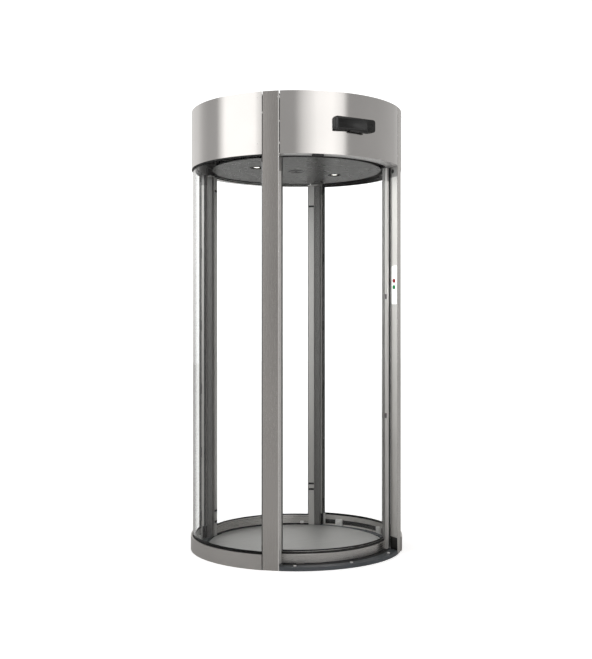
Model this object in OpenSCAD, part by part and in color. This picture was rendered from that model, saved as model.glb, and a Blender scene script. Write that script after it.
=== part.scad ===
// Round security portal: two curved sliding doors between four posts, with
// fixed curved glass at the sides, a base plate and a drum-shaped canopy.
// The origin is the middle of the base plate's underside, +Z is up, and the
// passage runs along Y, with the front doorway facing -Y.
// Angles round the portal are counted from the front (-Y) towards +X.

/* [Overall] */
// Diameter of the canopy and of the base plate
portal_d = 1200; // [1100:10:1500]
// Height of the canopy's underside above the ground
canopy_z = 2150; // [2050:10:2300]
// Height of the canopy
canopy_h = 325; // [280:5:400]
// Clear width between the two posts of a doorway
passage_w = 752; // [700:2:780]
// Thickness of the canopy's skin, the post covers, the soffits and the ceiling
skin_t = 3; // [2:0.5:4]
// Dark joint between the canopy's panels and a post cover
joint_gap = 4; // [2:0.5:8]

/* [Base] */
// Thickness of the base plate
plate_t = 20; // [15:1:30]
// Thickness of the floor panel in the cabin
floor_t = 5; // [3:0.5:8]
// Gap between the floor panel's edge and the door's inner face
floor_gap = 7; // [6:1:15]
// How far the base ring stands out past the canopy's radius
ring_proud = 4; // [3:0.5:10]
// Height of the base ring above the ground
ring_h = 80; // [75:1:110]
// Depth of the base ring from the canopy's radius inwards
ring_depth = 28; // [26:1:32]
// Depth of the slot in the base ring's inner face
slot_depth = 14; // [6:1:16]
// Height of the slot in the base ring's inner face
slot_h = 27; // [15:1:30]
// Height of the lip under that slot
slot_lip = 5; // [4:1:12]
// Length of a clamp in the base ring's slot, along the ring
clamp_l = 46; // [25:1:60]
// Height of a clamp
clamp_h = 37; // [34:1:46]
// How far a clamp stands in from the base ring's inner face
clamp_proud = 15; // [8:1:20]
// Distance along the base ring from the wall's end to the middle of an outer clamp
clamp_end = 88; // [75:1:200]
// Angle by which a ring's clamps are turned towards the front doorway
clamp_turn = 2.4; // [-3:0.2:3]
// Width of the plates over the slot's ends, along the ring
end_plate_w = 13; // [8:1:20]
// Thickness of those plates
end_plate_t = 4; // [2:0.5:6]
// Depth of the door's guide groove in the base plate
groove_depth = 10; // [6:1:12]
// Width of the guide groove
groove_w = 14; // [12:1:18]
// Thickness of the strips let into the base plate beside the fixed walls
strip_t = 3; // [2:0.5:5]
// Width of those strips, inwards from the base ring
strip_w = 15; // [8:1:33]

/* [Posts] */
// Height of a post's foot above the ground
foot_h = 90; // [80:1:120]
// Depth of a post, along the portal's radius
post_depth = 50; // [40:1:60]
// Wall thickness of a post
post_wall = 3; // [2:0.5:5]
// Width of a post cover, along the canopy's skin
cover_w = 88; // [80:1:96]
// How far a post head reaches below the canopy
head_drop = 58; // [30:1:100]
// Width of the brush strip on a post's side, beside the open door
brush_w = 8; // [4:1:12]
// How far that strip stands out from the post
brush_t = 3; // [2:0.5:5]

/* [Fixed walls] */
// Thickness of the fixed glass
wall_glass_t = 12; // [8:1:14]
// How far the fixed glass is set in from the canopy's radius
wall_glass_in = 8; // [7:0.5:9]
// Thickness of the gasket on each face of the fixed glass
gasket_t = 3; // [1.5:0.5:3]
// How far the gasket's outer leg shows above the base ring
gasket_up = 4; // [2:1:10]
// How far the gasket's inner leg shows above the base ring
gasket_in_up = 12; // [2:1:16]
// Depth of the groove that holds the fixed glass
glass_groove = 12; // [8:1:16]
// Height of the gasket along the fixed glass's top edge
gasket_top_h = 7; // [4:1:24]
// Height of the channel that takes the gasket's top, inside the canopy
channel_h = 15; // [10:1:20]
// Width of the gasket along the fixed glass's upright edges
gasket_side = 7; // [5:1:12]
// Gap left round the fixed glass's edges inside the gasket
glass_edge = 4; // [2:0.5:4]
// Height of a clip between fixed glass and post
clip_h = 60; // [30:1:80]
// Width of a clip, along the glass
clip_w = 7; // [5:1:30]
// Thickness of a clip
clip_t = 2; // [1:0.5:12]
// Height of the lowest clip's middle above the ground
clip_first = 150; // [140:1:200]
// Spacing of the lower clips
clip_step = 373; // [300:1:400]
// Number of lower clips
clip_count = 4; // [2:1:4]
// Distance of the top clip's middle below the canopy
clip_top_down = 459; // [100:1:480]

/* [Doors] */
// Gap between a door's outer face and the posts
door_gap = 7; // [5:0.5:10]
// Depth of a door stile, along the portal's radius
stile_depth = 33; // [30:1:40]
// Width of a door stile
stile_w = 37; // [30:1:42]
// Wall thickness of a door stile
stile_wall = 3; // [2:0.5:4]
// Gap between a stile's top and the canopy's underside
stile_top_gap = 7; // [5:1:15]
// Width of the rubber seal on a stile's outer side
seal_w = 35; // [25:1:37]
// How far that seal is set out from the stile's inner face
seal_in = 6.5; // [0:0.5:10]
// Gap between that seal and the posts
seal_gap = 5; // [5:0.5:7]
// Thickness of a door's glass
door_glass_t = 10; // [8:1:12]
// How far the glass is set out from a stile's inner face
door_glass_in = 4; // [3.5:0.5:5]
// Width of a door's bottom rail
rail_w = 18; // [18:1:24]
// Height of a door's bottom rail
rail_h = 48; // [44:1:60]
// Gap between a door and the base plate
rail_lift = 5; // [5:0.5:10]
// Height of the groove along the bottom rail's inner face
rail_groove_h = 6; // [3:0.5:8]
// Depth of that groove
rail_groove_d = 3; // [1:0.5:4]
// Height of that groove's lower edge above the rail's underside
rail_groove_z = 15; // [8:1:24]
// Bevel along the bottom rail's outer top edge
rail_bevel = 3; // [1:0.5:5]
// Height of the gasket between glass and bottom rail, above the rail
door_gasket_h = 11; // [6:1:16]
// Width of the gasket between glass and stile
door_gasket_w = 11; // [6:1:16]
// Thickness of the gasket on each face of a door's glass
door_gasket_t = 2.5; // [1.5:0.5:3.5]
// Thickness of a guide blade in the guide groove
guide_t = 6; // [4:0.5:8]
// Length of a guide blade, along the door
guide_l = 40; // [25:1:60]
// Gap between a guide blade and the bottom of the guide groove
guide_gap = 3; // [2:0.5:4]

/* [Door track] */
// Height of the track's underside above the canopy's underside
track_lift = 45; // [45:1:60]
// Thickness of the track
track_t = 15; // [10:1:20]
// Width of the track
track_w = 18; // [17:1:19]
// Width of a door's top rail
top_rail_w = 18; // [16:1:18]
// Height of a door's top rail
top_rail_h = 32; // [26:1:32]
// Gap between the canopy's underside and a door's top rail
top_rail_lift = 8; // [8:1:10]
// Depth of the groove for the glass in the top rail
top_groove = 10; // [6:1:16]
// Radius of a roller
roller_r = 18; // [14:1:20]
// Width of a roller
roller_w = 10; // [6:1:10]
// Running gap between a roller and the track
roller_gap = 0.3; // [0.2:0.1:0.5]
// Radius of a roller's axle
axle_r = 6; // [4:1:8]
// Width of a hanger arm, along the door
arm_w = 50; // [40:1:70]
// Thickness of a hanger arm
arm_t = 8; // [5:1:10]
// Angle of the hanger arms and guide blades from the door's middle
arm_angle = 28; // [20:1:32]

/* [Canopy] */
// Gap between the ceiling's edge and the door's inner face
ceiling_gap = 25; // [10:1:26]
// Width of the dark slot between the ceiling and a soffit
slot_w = 44; // [40:1:46]
// Height of the ceiling's underside above the canopy's underside
ceiling_lift = 2; // [0:0.5:8]
// How far the top cover lies below the canopy's upper edge
top_recess = 15; // [5:1:30]
// Thickness of the top cover
top_t = 5; // [3:1:8]
// Height of the ring beam above the track
beam_lift = 55; // [45:1:60]
// Thickness of the ring beam
beam_t = 20; // [15:1:30]
// Width of the ring beam
beam_w = 95; // [90:1:120]
// Number of rods that hold the ceiling under the ring beam
rod_count = 8; // [4:1:12]
// Radius of a rod
rod_r = 8; // [5:1:12]

/* [Fittings] */
// Distance of a downlight from the middle of the ceiling
light_x = 258; // [150:1:300]
// Diameter of a downlight's bezel
light_bezel_d = 78; // [72:1:100]
// Diameter of a downlight's housing above the ceiling
light_body_d = 66; // [56:1:68]
// Height of a downlight's housing above the ceiling
light_body_h = 48; // [30:1:70]
// Diameter of a downlight's lens
light_lens_d = 38; // [20:1:50]
// Thickness of a downlight's lens
light_lens_t = 6; // [3:1:10]
// Thickness of the bezels under the ceiling
bezel_t = 2.5; // [1.5:0.5:4]
// Diameter of the round sensor in the middle of the ceiling
eye_d = 92; // [60:1:120]
// Height of that sensor's body above the ceiling
eye_h = 35; // [20:1:60]
// Length of a motion sensor over a doorway
motion_l = 250; // [200:1:320]
// Height of a motion sensor
motion_h = 66; // [50:1:80]
// Depth of a motion sensor, at its middle
motion_depth = 28; // [24:1:60]
// Radius of a motion sensor's corners
motion_corner = 14; // [5:1:24]
// Height of a motion sensor's middle above the canopy's underside
motion_up = 164; // [80:1:220]
// Length of the small sensor under the front soffit
soffit_sensor_l = 60; // [40:1:90]
// Depth of that sensor, along the portal's radius
soffit_sensor_w = 25; // [15:1:40]
// Height of that sensor
soffit_sensor_h = 10; // [6:1:20]
// Angle of that sensor from the front
soffit_sensor_angle = -19.3; // [-30:0.1:30]
// Gap between that sensor and the canopy's outer face
soffit_sensor_in = 4; // [3:0.5:20]
// Width of the control panel on the front right post
panel_w = 48; // [40:1:50]
// Height of the control panel
panel_h = 214; // [150:1:300]
// Thickness of the control panel
panel_t = 3; // [2:0.5:4]
// How far the control panel sits in front of the middle of the post's face
panel_forward = 7; // [0:0.5:7]
// Height of the control panel's middle above the ground
panel_z = 1491; // [1000:1:1700]
// Diameter of an indicator lamp
lamp_d = 24; // [12:1:30]
// How far an indicator lamp stands out
lamp_t = 7; // [2:0.5:10]
// Height of the red lamp above the control panel's middle
red_up = 24; // [20:1:60]
// Distance of the green lamp below the control panel's middle
green_down = 12; // [10:1:60]
// Width of a photocell window on the front door
cell_w = 10; // [6:1:14]
// Height of a photocell window
cell_h = 27; // [15:1:40]
// Thickness of a photocell window
cell_t = 2; // [1:0.5:3]
// Height of the lower photocell above the ground
cell_low_z = 766; // [400:1:1000]
// Height of the upper photocell above the ground
cell_high_z = 1427; // [1100:1:1800]

/* [Hidden] */
$fn = 96;
deg_per_rad = 180 / PI;
eps = 1; // how far a cutting solid runs past the face it cuts, in mm or degrees
seat = 0.3; // gap at a seat
brush_in = 1; // set-back of a brush strip from the post's inner face

// Radii, from the outside inwards
skin_r = portal_d / 2;
ring_r = skin_r + ring_proud;
post_ro = skin_r - skin_t;
post_ri = post_ro - post_depth;
glass_ro = skin_r - wall_glass_in;
glass_ri = glass_ro - wall_glass_t;
gasket_ro = glass_ro + gasket_t;
gasket_ri = glass_ri - gasket_t;
ring_ri = skin_r - ring_depth;
door_ro = post_ri - door_gap;
door_ri = door_ro - stile_depth;
door_glass_ri = door_ri + door_glass_in;
door_glass_ro = door_glass_ri + door_glass_t;
rail_ro = door_ri + rail_w;
floor_r = door_ri - floor_gap;
ceiling_r = door_ri - ceiling_gap;
soffit_ri = ceiling_r + slot_w;
groove_r = (door_glass_ri + door_glass_ro) / 2;
beam_ri = post_ri - beam_w;
// Inner face of a roller, which runs over the middle of the track's clear width
roller_seat_r = post_ri - track_w + (track_w - door_gap - roller_w) / 2;

// Flat faces of the posts, and the control panel's middle along the passage
jamb_x = passage_w / 2;
panel_y = -(sqrt(post_ro ^ 2 - jamb_x ^ 2) + sqrt(post_ri ^ 2 - jamb_x ^ 2)) / 2 - panel_forward;

// Angles
post_a1 = asin(jamb_x / skin_r);
post_a2 = post_a1 + cover_w / skin_r * deg_per_rad;
clamp_angle = 90 - post_a2 - clamp_end / ring_ri * deg_per_rad;
joint_a = joint_gap / skin_r * deg_per_rad;
stile_a1 = post_a1;
stile_a2 = stile_a1 + stile_w / door_ro * deg_per_rad;
seal_a1 = stile_a2 + seat / door_ro * deg_per_rad;
seal_a2 = stile_a2 + seal_w / door_ro * deg_per_rad;

// Heights
canopy_top_z = canopy_z + canopy_h;
top_z2 = canopy_top_z - top_recess;
top_z1 = top_z2 - top_t;
head_z = canopy_z - head_drop;
slot_z = plate_t + slot_lip;
door_z = plate_t + rail_lift;
rail_top_z = door_z + rail_h;
stile_top_z = canopy_z - stile_top_gap;
ceiling_z = canopy_z + ceiling_lift;
track_z1 = canopy_z + track_lift;
track_z2 = track_z1 + track_t;
top_rail_z1 = canopy_z + top_rail_lift;
top_rail_z2 = top_rail_z1 + top_rail_h;
roller_z = track_z2 + roller_gap + roller_r;
beam_z = track_z2 + beam_lift;
gasket_z1 = ring_h - glass_groove;

// Colours
glass_colour = [0.86, 0.92, 0.92, 0.3];
skin_colour = [0.75, 0.73, 0.71];
ring_colour = [0.62, 0.6, 0.58];
stile_colour = [0.66, 0.65, 0.63];
rubber_colour = [0.1, 0.1, 0.1];
steel_colour = [0.5, 0.5, 0.5];

// ---------------------------------------------------------------- shapes

// Turns its child from +X to angle a, counted from the front towards +X
module at_angle(a) rotate([0, 0, a - 90]) children();

// Sweeps an outline of radius and height round the portal's axis
module sweep_section(a1, a2)
  at_angle(a1) rotate_extrude(angle = a2 - a1) children();

// Part of a ring between two radii, two heights and two angles
module arc_block(r1, r2, z1, z2, a1, a2)
  sweep_section(a1, a2) translate([r1, z1]) square([r2 - r1, z2 - z1]);

// Whole ring between two radii and two heights
module ring_block(r1, r2, z1, z2)
  difference() {
    translate([0, 0, z1]) cylinder(r = r2, h = z2 - z1);
    translate([0, 0, z1 - eps]) cylinder(r = r1, h = z2 - z1 + 2 * eps);
  }

// Repeats its child at the four posts
module at_posts() {
  children();
  mirror([1, 0, 0]) children();
  mirror([0, 1, 0]) children();
  mirror([1, 0, 0]) mirror([0, 1, 0]) children();
}

// Repeats its child at the right and the left wall
module at_walls() {
  children();
  mirror([1, 0, 0]) children();
}

// ---------------------------------------------------------------- base

// Angle range of what stands between the front and back posts of a wall
function wall_a1(gap) = post_a2 + gap / skin_r * deg_per_rad;

module base_plate()
  color([0.36, 0.38, 0.4]) difference() {
    cylinder(r = skin_r, h = plate_t);
    translate([0, 0, plate_t - groove_depth])
      ring_block(groove_r - groove_w / 2, groove_r + groove_w / 2, 0, groove_depth + eps);
    at_walls() pocket_strip(eps);
    at_posts() arc_block(post_ro, skin_r + eps, -eps, plate_t + eps, post_a1, post_a2);
  }

// Strip let into the base plate beside the right wall; over is how far it
// stands above the plate, for the cut that takes it
module pocket_strip(over = 0)
  arc_block(
    ring_ri - strip_w, ring_ri, plate_t - strip_t, plate_t + over, wall_a1(0), 180 - wall_a1(0)
  );

module pocket_strips()
  color([0.72, 0.71, 0.69]) at_walls() pocket_strip();

module floor_panel()
  color([0.58, 0.58, 0.57]) translate([0, 0, plate_t]) cylinder(r = floor_r, h = floor_t);

// Ring under the right wall: a skirt beside the plate, a groove on top for
// the glass and a slot in the inner face
module base_ring() {
  a1 = wall_a1(joint_gap);
  sweep_section(a1, 180 - a1) polygon([
    [skin_r, 0], [ring_r, 0], [ring_r, ring_h],
    [gasket_ro, ring_h], [gasket_ro, gasket_z1], [gasket_ri, gasket_z1], [gasket_ri, ring_h],
    [ring_ri, ring_h], [ring_ri, slot_z + slot_h], [ring_ri + slot_depth, slot_z + slot_h],
    [ring_ri + slot_depth, slot_z], [ring_ri, slot_z], [ring_ri, plate_t], [skin_r, plate_t]
  ]);
}

module base_ring_right() color(ring_colour) base_ring();
module base_ring_left() color(ring_colour) mirror([1, 0, 0]) base_ring();

// Clamp that holds the base ring down, with a tongue in the ring's slot
module ring_clamp(a) {
  half = clamp_l / 2 / ring_ri * deg_per_rad;
  arc_block(ring_ri - clamp_proud, ring_ri, plate_t, plate_t + clamp_h, a - half, a + half);
  arc_block(ring_ri - eps, ring_ri + slot_depth, slot_z, slot_z + slot_h, a - half, a + half);
}

// Plates over the slot's ends, on the base ring's inner face
module ring_end_plate()
  arc_block(
    ring_ri - end_plate_t, ring_ri, plate_t, foot_h,
    wall_a1(joint_gap), wall_a1(joint_gap + end_plate_w)
  );

module ring_clamps()
  color([0.82, 0.82, 0.81]) {
    at_walls() for (i = [-1 : 1]) ring_clamp(90 - clamp_turn + i * clamp_angle);
    at_posts() ring_end_plate();
  }

// ---------------------------------------------------------------- walls

module wall_glass() {
  a1 = wall_a1(glass_edge);
  arc_block(
    glass_ri, glass_ro, gasket_z1 + glass_edge, canopy_z + channel_h / 2, a1, 180 - a1
  );
}

module wall_glass_right() color(glass_colour) wall_glass();
module wall_glass_left() color(glass_colour) mirror([1, 0, 0]) wall_glass();

// Gasket frame round the glass, in the base ring's groove, between the glass
// and the posts and in the channel over the wall
module wall_gasket() {
  a1 = wall_a1(0);
  a2 = wall_a1(gasket_side);
  difference() {
    arc_block(gasket_ri, gasket_ro, gasket_z1, canopy_z + channel_h - skin_t, a1, 180 - a1);
    arc_block(
      gasket_ri - eps, glass_ri + eps, ring_h + gasket_in_up, canopy_z - gasket_top_h,
      a2, 180 - a2
    );
    arc_block(
      glass_ro - eps, gasket_ro + eps, ring_h + gasket_up, canopy_z - gasket_top_h,
      a2, 180 - a2
    );
    wall_glass();
    // The base ring stops short of the posts, and the groove with it
    for (s = [0, 1]) mirror([0, s, 0])
      arc_block(
        gasket_ri - eps, gasket_ro + eps, gasket_z1 - eps, ring_h,
        a1 - joint_a, wall_a1(joint_gap)
      );
  }
}

module wall_gaskets() color(rubber_colour) at_walls() wall_gasket();

// Channel over a wall, open below, fixed to the canopy's skin
module wall_head() {
  a1 = wall_a1(joint_gap);
  difference() {
    arc_block(ring_ri, post_ro, canopy_z, canopy_z + channel_h, a1, 180 - a1);
    arc_block(
      gasket_ri, gasket_ro, canopy_z - eps, canopy_z + channel_h - skin_t,
      a1 - joint_a, 180 - a1 + joint_a
    );
  }
}

module wall_heads() color([0.3, 0.3, 0.3]) at_walls() wall_head();

// Clips in the corner between a post and the inner face of the fixed glass
module glass_clip_row() {
  heights = [for (i = [0 : clip_count - 1]) clip_first + i * clip_step];
  for (z = concat(heights, [canopy_z - clip_top_down]))
    arc_block(
      gasket_ri - clip_t, gasket_ri, z - clip_h / 2, z + clip_h / 2, wall_a1(0), wall_a1(clip_w)
    );
}

module glass_clips() color([0.16, 0.16, 0.16]) at_posts() glass_clip_row();

// ---------------------------------------------------------------- posts

// Outline of the front right post, between two heights: flat along the
// passage, radial beside the wall, and set in all round by inset
module post_block(z1, z2, inset)
  intersection() {
    arc_block(
      post_ri + inset, post_ro - inset, z1, z2, 0, post_a2 - inset / post_ri * deg_per_rad
    );
    translate([jamb_x + inset, -skin_r, z1 - eps])
      cube([skin_r, skin_r, z2 - z1 + 2 * eps]);
  }

module post_tube(z1, z2)
  difference() {
    post_block(z1, z2, 0);
    post_block(z1 - eps, z2 + eps, post_wall);
  }

module posts() color([0.78, 0.76, 0.73]) at_posts() post_tube(foot_h, head_z);

module post_feet() color([0.25, 0.25, 0.25]) at_posts() post_block(plate_t, foot_h, 0);

module post_heads() color([0.5, 0.49, 0.48]) at_posts() post_block(head_z, top_z1, 0);

module post_covers()
  color([0.56, 0.54, 0.52]) at_posts()
    arc_block(post_ro, skin_r, 0, canopy_top_z, post_a1, post_a2);

// Brush strips on the posts' sides, close to their inner faces
module post_brushes()
  color(rubber_colour) at_posts()
    arc_block(
      post_ri + brush_in, post_ri + brush_in + brush_w, foot_h, canopy_z,
      wall_a1(0), wall_a1(brush_t)
    );

// ---------------------------------------------------------------- canopy

module canopy_skin(a1, a2) arc_block(post_ro, skin_r, canopy_z, canopy_top_z, a1, a2);

module canopy_front()
  color(skin_colour) canopy_skin(joint_a - post_a1, post_a1 - joint_a);

module canopy_back()
  color(skin_colour)
    rotate([0, 0, 180]) canopy_skin(joint_a - post_a1, post_a1 - joint_a);

module canopy_sides()
  color(skin_colour)
    at_walls() canopy_skin(post_a2 + joint_a, 180 - post_a2 - joint_a);

module canopy_top()
  color([0.4, 0.4, 0.4]) translate([0, 0, top_z1]) cylinder(r = post_ro, h = top_t);

// Ring beam between the post heads, with rods down to the ceiling
module canopy_frame()
  color([0.35, 0.35, 0.36]) {
    ring_block(beam_ri, post_ri, beam_z, beam_z + beam_t);
    for (i = [0 : rod_count - 1])
      at_angle((i + 0.5) * 360 / rod_count)
        translate([beam_ri + rod_r, 0, ceiling_z + skin_t])
          cylinder(r = rod_r, h = beam_z + beam_t / 2 - ceiling_z - skin_t);
  }

// Ring that the doors' rollers run on, fixed to the post heads
module door_track()
  color([0.6, 0.6, 0.6]) ring_block(post_ri - track_w, post_ri, track_z1, track_z2);

// Underside of the canopy over a doorway, between the post heads
module soffit()
  intersection() {
    arc_block(soffit_ri, post_ro, canopy_z, canopy_z + skin_t, -90, 90);
    translate([-jamb_x, -skin_r, canopy_z - eps])
      cube([passage_w, skin_r, skin_t + 2 * eps]);
  }

module soffits()
  color([0.8, 0.79, 0.77]) {
    soffit();
    rotate([0, 0, 180]) soffit();
  }

module ceiling_panel()
  color([0.45, 0.45, 0.45]) difference() {
    translate([0, 0, ceiling_z]) cylinder(r = ceiling_r, h = skin_t);
    for (x = [-light_x, light_x])
      translate([x, 0, ceiling_z - eps])
        cylinder(r = light_body_d / 2 + seat, h = skin_t + 2 * eps);
    translate([0, 0, ceiling_z - eps])
      cylinder(r = eye_d / 2 - skin_t + seat, h = skin_t + 2 * eps);
  }

// ---------------------------------------------------------------- fittings

// Housing with a bezel under the ceiling and a pocket for the lens
module downlight()
  difference() {
    union() {
      translate([0, 0, ceiling_z - bezel_t]) cylinder(r = light_bezel_d / 2, h = bezel_t);
      translate([0, 0, ceiling_z]) cylinder(r = light_body_d / 2, h = light_body_h);
    }
    translate([0, 0, ceiling_z - bezel_t - eps])
      cylinder(r = light_lens_d / 2 + seat, h = bezel_t + light_lens_t + eps);
  }

module downlights()
  color([0.2, 0.2, 0.2]) for (x = [-light_x, light_x]) translate([x, 0, 0]) downlight();

module downlight_lenses()
  color([1, 1, 0.95]) for (x = [-light_x, light_x])
    translate([x, 0, ceiling_z]) cylinder(r = light_lens_d / 2, h = light_lens_t);

module ceiling_sensor()
  color([0.38, 0.38, 0.38]) {
    translate([0, 0, ceiling_z - bezel_t]) cylinder(r = eye_d / 2, h = bezel_t);
    translate([0, 0, ceiling_z]) cylinder(r = eye_d / 2 - skin_t, h = eye_h);
  }

// Rounded bar over the front doorway, hollowed behind to fit the skin
module motion_sensor()
  difference() {
    translate([0, -skin_r, canopy_z + motion_up]) rotate([90, 0, 0])
      translate([0, 0, -motion_depth]) linear_extrude(2 * motion_depth) rounded_bar();
    translate([0, 0, canopy_z]) cylinder(r = skin_r, h = canopy_h);
  }

// Rectangle with rounded corners, of a motion sensor's length and height
module rounded_bar() {
  square([motion_l - 2 * motion_corner, motion_h], center = true);
  square([motion_l, motion_h - 2 * motion_corner], center = true);
  for (x = [-1, 1], y = [-1, 1])
    translate([x * (motion_l / 2 - motion_corner), y * (motion_h / 2 - motion_corner)])
      circle(r = motion_corner);
}

module motion_sensor_front() color([0.08, 0.08, 0.08]) motion_sensor();
module motion_sensor_back() color([0.08, 0.08, 0.08]) rotate([0, 0, 180]) motion_sensor();

module soffit_sensor()
  color([0.1, 0.1, 0.1]) at_angle(soffit_sensor_angle)
    translate([
      skin_r - soffit_sensor_in - soffit_sensor_w, -soffit_sensor_l / 2,
      canopy_z - soffit_sensor_h
    ])
      cube([soffit_sensor_w, soffit_sensor_l, soffit_sensor_h]);

module control_panel()
  color([0.95, 0.95, 0.94])
    translate([jamb_x - panel_t, panel_y - panel_w / 2, panel_z - panel_h / 2])
      cube([panel_t, panel_w, panel_h]);

module lamp(z)
  translate([jamb_x - panel_t - lamp_t, panel_y, z])
    rotate([0, 90, 0]) cylinder(r = lamp_d / 2, h = lamp_t);

module indicator_red() color([0.8, 0.1, 0.1]) lamp(panel_z + red_up);
module indicator_green() color([0.1, 0.6, 0.2]) lamp(panel_z - green_down);

// ---------------------------------------------------------------- doors
// Each door is drawn in the front doorway; the back one is turned by 180 degrees.

module door_glass()
  arc_block(
    door_glass_ri, door_glass_ro, rail_top_z, top_rail_z1 + top_groove, -stile_a1, stile_a1
  );

// Bottom rail with a groove along its inner face and blades in the guide groove
module door_bottom_rail() {
  groove_z = door_z + rail_groove_z;
  sweep_section(-stile_a1, stile_a1) polygon([
    [door_ri, door_z], [rail_ro, door_z], [rail_ro, rail_top_z - rail_bevel],
    [rail_ro - rail_bevel, rail_top_z], [door_ri, rail_top_z],
    [door_ri, groove_z + rail_groove_h], [door_ri + rail_groove_d, groove_z + rail_groove_h],
    [door_ri + rail_groove_d, groove_z], [door_ri, groove_z]
  ]);
  blade_a = guide_l / 2 / groove_r * deg_per_rad;
  for (a = [-arm_angle, arm_angle])
    arc_block(
      groove_r - guide_t / 2, groove_r + guide_t / 2, plate_t - groove_depth + guide_gap,
      door_z + eps, a - blade_a, a + blade_a
    );
}

// Gasket along the glass's bottom and upright edges, on both of its faces
module door_gasket() {
  a = stile_a1 - door_gasket_w / door_glass_ro * deg_per_rad;
  difference() {
    arc_block(
      door_glass_ri - door_gasket_t, door_glass_ro + door_gasket_t, rail_top_z, stile_top_z,
      -stile_a1, stile_a1
    );
    arc_block(
      door_glass_ri - door_gasket_t - eps, door_glass_ro + door_gasket_t + eps,
      rail_top_z + door_gasket_h, stile_top_z + eps, -a, a
    );
    arc_block(
      door_glass_ri - seat, door_glass_ro + seat, rail_top_z - eps, stile_top_z + eps,
      -stile_a1 - eps, stile_a1 + eps
    );
  }
}

// Stile at the right end of the door, a closed tube
module door_stile() {
  wall_a = stile_wall / door_ri * deg_per_rad;
  difference() {
    arc_block(door_ri, door_ro, door_z, stile_top_z, stile_a1, stile_a2);
    arc_block(
      door_ri + stile_wall, door_ro - stile_wall, door_z + stile_wall, stile_top_z - stile_wall,
      stile_a1 + wall_a, stile_a2 - wall_a
    );
  }
}

module door_stiles() at_walls() door_stile();

// Rubber seals on the stiles' outer sides
module door_seals()
  at_walls()
    arc_block(door_ri + seal_in, post_ri - seal_gap, door_z, stile_top_z, seal_a1, seal_a2);

// Top rail that grips the glass, with two arms whose rollers stand on the track
module door_hanger() {
  difference() {
    arc_block(
      door_ri, door_ri + top_rail_w, top_rail_z1, top_rail_z2, -stile_a1, stile_a1
    );
    arc_block(
      door_glass_ri, door_glass_ro, top_rail_z1 - eps, top_rail_z1 + top_groove,
      -stile_a1 - eps, stile_a1 + eps
    );
  }
  for (a = [-arm_angle, arm_angle]) at_angle(a) {
    translate([door_ri + (top_rail_w - arm_t) / 2, -arm_w / 2, top_rail_z2 - eps])
      cube([arm_t, arm_w, roller_z + axle_r + eps - top_rail_z2 + eps]);
    translate([door_ri + top_rail_w / 2, 0, roller_z]) rotate([0, 90, 0])
      cylinder(r = axle_r, h = roller_seat_r - door_ri - top_rail_w / 2 + eps);
    translate([roller_seat_r, 0, roller_z]) rotate([0, 90, 0])
      cylinder(r = roller_r, h = roller_w);
  }
}

// Photocell windows on the side of the front door's right stile
module door_photocells()
  for (z = [cell_low_z, cell_high_z])
    at_angle(stile_a1)
      translate([door_ro - cell_w - stile_wall, -cell_t, z - cell_h / 2])
        cube([cell_w, cell_t, cell_h]);

module front_door_glass() color(glass_colour) door_glass();
module front_door_bottom_rail() color(ring_colour) door_bottom_rail();
module front_door_gasket() color(rubber_colour) door_gasket();
module front_door_stiles() color(stile_colour) door_stiles();
module front_door_seals() color(rubber_colour) door_seals();
module front_door_hanger() color(steel_colour) door_hanger();
module front_door_photocells() color([0.05, 0.05, 0.05]) door_photocells();

module back_door_glass() color(glass_colour) rotate([0, 0, 180]) door_glass();
module back_door_bottom_rail() color(ring_colour) rotate([0, 0, 180]) door_bottom_rail();
module back_door_gasket() color(rubber_colour) rotate([0, 0, 180]) door_gasket();
module back_door_stiles() color(stile_colour) rotate([0, 0, 180]) door_stiles();
module back_door_seals() color(rubber_colour) rotate([0, 0, 180]) door_seals();
module back_door_hanger() color(steel_colour) rotate([0, 0, 180]) door_hanger();

// ---------------------------------------------------------------- nodes

base_plate();
floor_panel();
base_ring_left();
base_ring_right();
ring_clamps();
pocket_strips();
wall_glass_left();
wall_glass_right();
wall_gaskets();
glass_clips();
wall_heads();
posts();
post_feet();
post_heads();
post_covers();
post_brushes();
canopy_front();
canopy_back();
canopy_sides();
canopy_top();
canopy_frame();
door_track();
soffits();
ceiling_panel();
downlights();
downlight_lenses();
ceiling_sensor();
motion_sensor_front();
motion_sensor_back();
soffit_sensor();
control_panel();
indicator_red();
indicator_green();
front_door_glass();
front_door_bottom_rail();
front_door_gasket();
front_door_stiles();
front_door_seals();
front_door_hanger();
front_door_photocells();
back_door_glass();
back_door_bottom_rail();
back_door_gasket();
back_door_stiles();
back_door_seals();
back_door_hanger();
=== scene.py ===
"""Round security portal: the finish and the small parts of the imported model.

Metres, +Z up, the front doorway faces -Y. Angles round the portal are counted
in degrees from the front towards +X.
"""
from math import atan2, cos, degrees, pi, radians, sin, sqrt

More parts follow.
